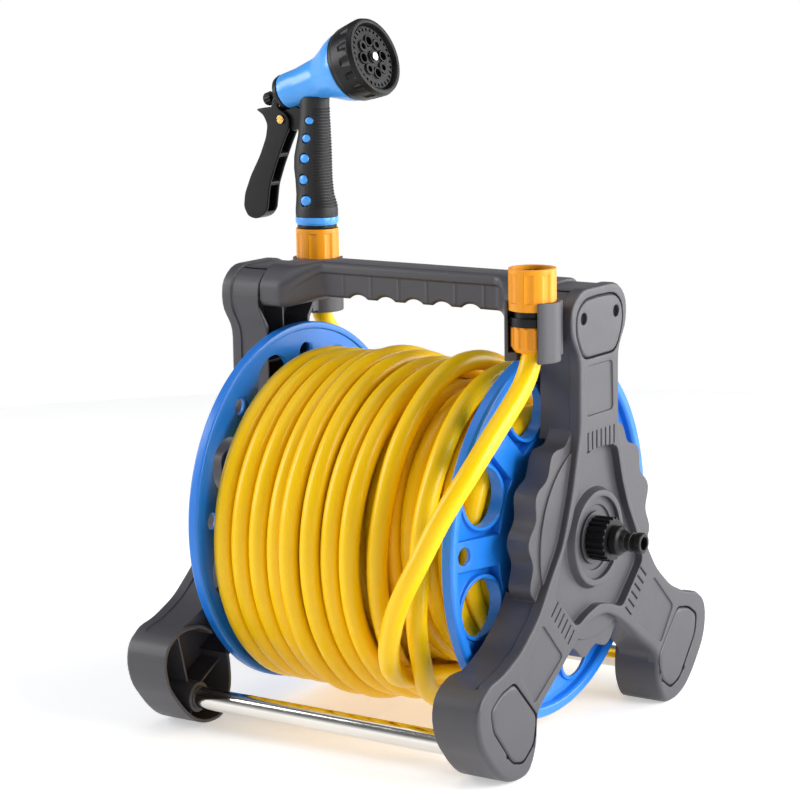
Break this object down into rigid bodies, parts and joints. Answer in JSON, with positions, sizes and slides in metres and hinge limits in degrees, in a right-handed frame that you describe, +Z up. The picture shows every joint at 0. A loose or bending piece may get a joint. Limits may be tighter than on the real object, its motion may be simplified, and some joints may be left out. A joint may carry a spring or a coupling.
{
  "type": "garden hose reel",
  "caption": "Standing garden hose reel: a drum of wound hose between moulded side frames, with a top handle, floor tubes, a crank, hose clips and a parked spray nozzle.",
  "frame": {"origin": "on the floor, under the middle of the whole reel", "axes": "+Z up, +X along the reel's axle towards the water inlet, -Y towards the front"},
  "size_m": [0.456, 0.3636, 0.5629],
  "materials": {
    "frame_plastic": "satin moulded",
    "reel_plastic": "glossy moulded",
    "nozzle_plastic": "glossy moulded",
    "hose_pvc": "glossy extruded PVC",
    "connector_plastic": "glossy moulded",
    "black_plastic": "satin moulded",
    "bush_plastic": "plain acetal",
    "black_rubber": "soft moulded",
    "tube_steel": "polished stainless",
    "screw_steel": "zinc plated",
    "black_screw": "blackened",
    "pivot_brass": "plain"
  },
  "bodies": {
    "frame": {"side_frame_right": "frame_plastic", "side_frame_left": "frame_plastic", "head_cap_right": "frame_plastic", "head_cap_left": "frame_plastic", "head_cap_screws": "black_screw", "foot_caps_right": "frame_plastic", "foot_caps_left": "frame_plastic", "bearing_bush_right": "bush_plastic", "bearing_bush_left": "bush_plastic", "handle_bar": "frame_plastic", "handle_screws": "screw_steel", "front_tube": "tube_steel", "rear_tube": "tube_steel", "tube_plugs": "black_plastic", "tube_screws": "screw_steel", "hose_clip_front": "frame_plastic", "hose_clip_rear": "frame_plastic", "clip_screws": "screw_steel", "inlet_connector": "black_plastic", "inlet_nut": "black_plastic", "inlet_o_ring": "black_rubber", "hose_wrap": "hose_pvc", "hose_tail": "hose_pvc", "hose_lead": "hose_pvc", "front_connector_body": "black_plastic", "front_connector_nut": "connector_plastic", "front_connector_collet": "black_plastic", "rear_connector_body": "black_plastic", "rear_connector_nut": "connector_plastic", "rear_connector_collet": "black_plastic"},
    "reel": {"drum_barrel": "reel_plastic", "flange_right": "reel_plastic", "flange_left": "reel_plastic", "drum_screws": "screw_steel", "spindle_right": "black_plastic", "spindle_left": "black_plastic", "spindle_o_rings": "black_rubber", "outlet_elbow": "black_plastic", "outlet_nut": "black_plastic", "crank_arm": "frame_plastic", "crank_screw": "screw_steel", "crank_pin": "screw_steel", "hose_coil": "hose_pvc"},
    "knob": {"crank_knob": "black_plastic"},
    "front_sleeve": {"front_connector_sleeve": "connector_plastic"},
    "rear_sleeve": {"rear_connector_sleeve": "connector_plastic"},
    "nozzle": {"nozzle_nipple": "black_plastic", "nozzle_collar": "nozzle_plastic", "nozzle_body": "nozzle_plastic", "nozzle_grip": "black_rubber", "nozzle_grip_dots": "nozzle_plastic", "nozzle_back_cap": "black_plastic", "lever_screw": "pivot_brass", "valve_spring": "screw_steel"},
    "lever": {"nozzle_lever": "black_plastic"},
    "stem": {"valve_stem": "black_plastic"},
    "dial": {"nozzle_dial": "black_plastic", "nozzle_face_plate": "black_plastic", "dial_screw": "screw_steel"}
  },
  "joints": [
    {"name": "reel_spin", "type": "hinge", "parent": "frame", "child": "reel", "pos_m": [0.021, 0, 0.164], "axis": [1, 0, 0], "continuous": true},
    {"name": "knob_spin", "type": "hinge", "parent": "reel", "child": "knob", "pos_m": [-0.199, 0.066, 0.19], "axis": [1, 0, 0], "continuous": true},
    {"name": "front_sleeve_slide", "type": "slide", "parent": "frame", "child": "front_sleeve", "axis": [0, 0, -1], "range_m": [0, 0.004], "stiffness_N_per_m": 500, "springref_m": -0.004},
    {"name": "rear_sleeve_slide", "type": "slide", "parent": "frame", "child": "rear_sleeve", "axis": [0, 0, -1], "range_m": [0, 0.004], "stiffness_N_per_m": 500, "springref_m": -0.004},
    {"name": "nozzle_swivel", "type": "hinge", "parent": "frame", "child": "nozzle", "pos_m": [-0.1285, 0.07, 0.385], "axis": [0, 0, 1], "continuous": true},
    {"name": "lever_squeeze", "type": "hinge", "parent": "nozzle", "child": "lever", "pos_m": [-0.1585, 0.07, 0.477], "axis": [0, -1, 0], "range_deg": [0, 16], "stiffness_Nm_per_rad": 0.5, "springref_deg": -11.46},
    {"name": "stem_slide", "type": "slide", "parent": "nozzle", "child": "stem", "axis": [-0.9455, 0, -0.3256], "range_m": [0, 0.0045]},
    {"name": "dial_turn", "type": "hinge", "parent": "nozzle", "child": "dial", "pos_m": [-0.0781, 0.07, 0.52749], "axis": [0.9455, 0, 0.3256], "continuous": true}
  ],
  "couplings": [
    {"joint": "stem_slide", "follows": "lever_squeeze", "m_per_rad": 0.0145}
  ]
}
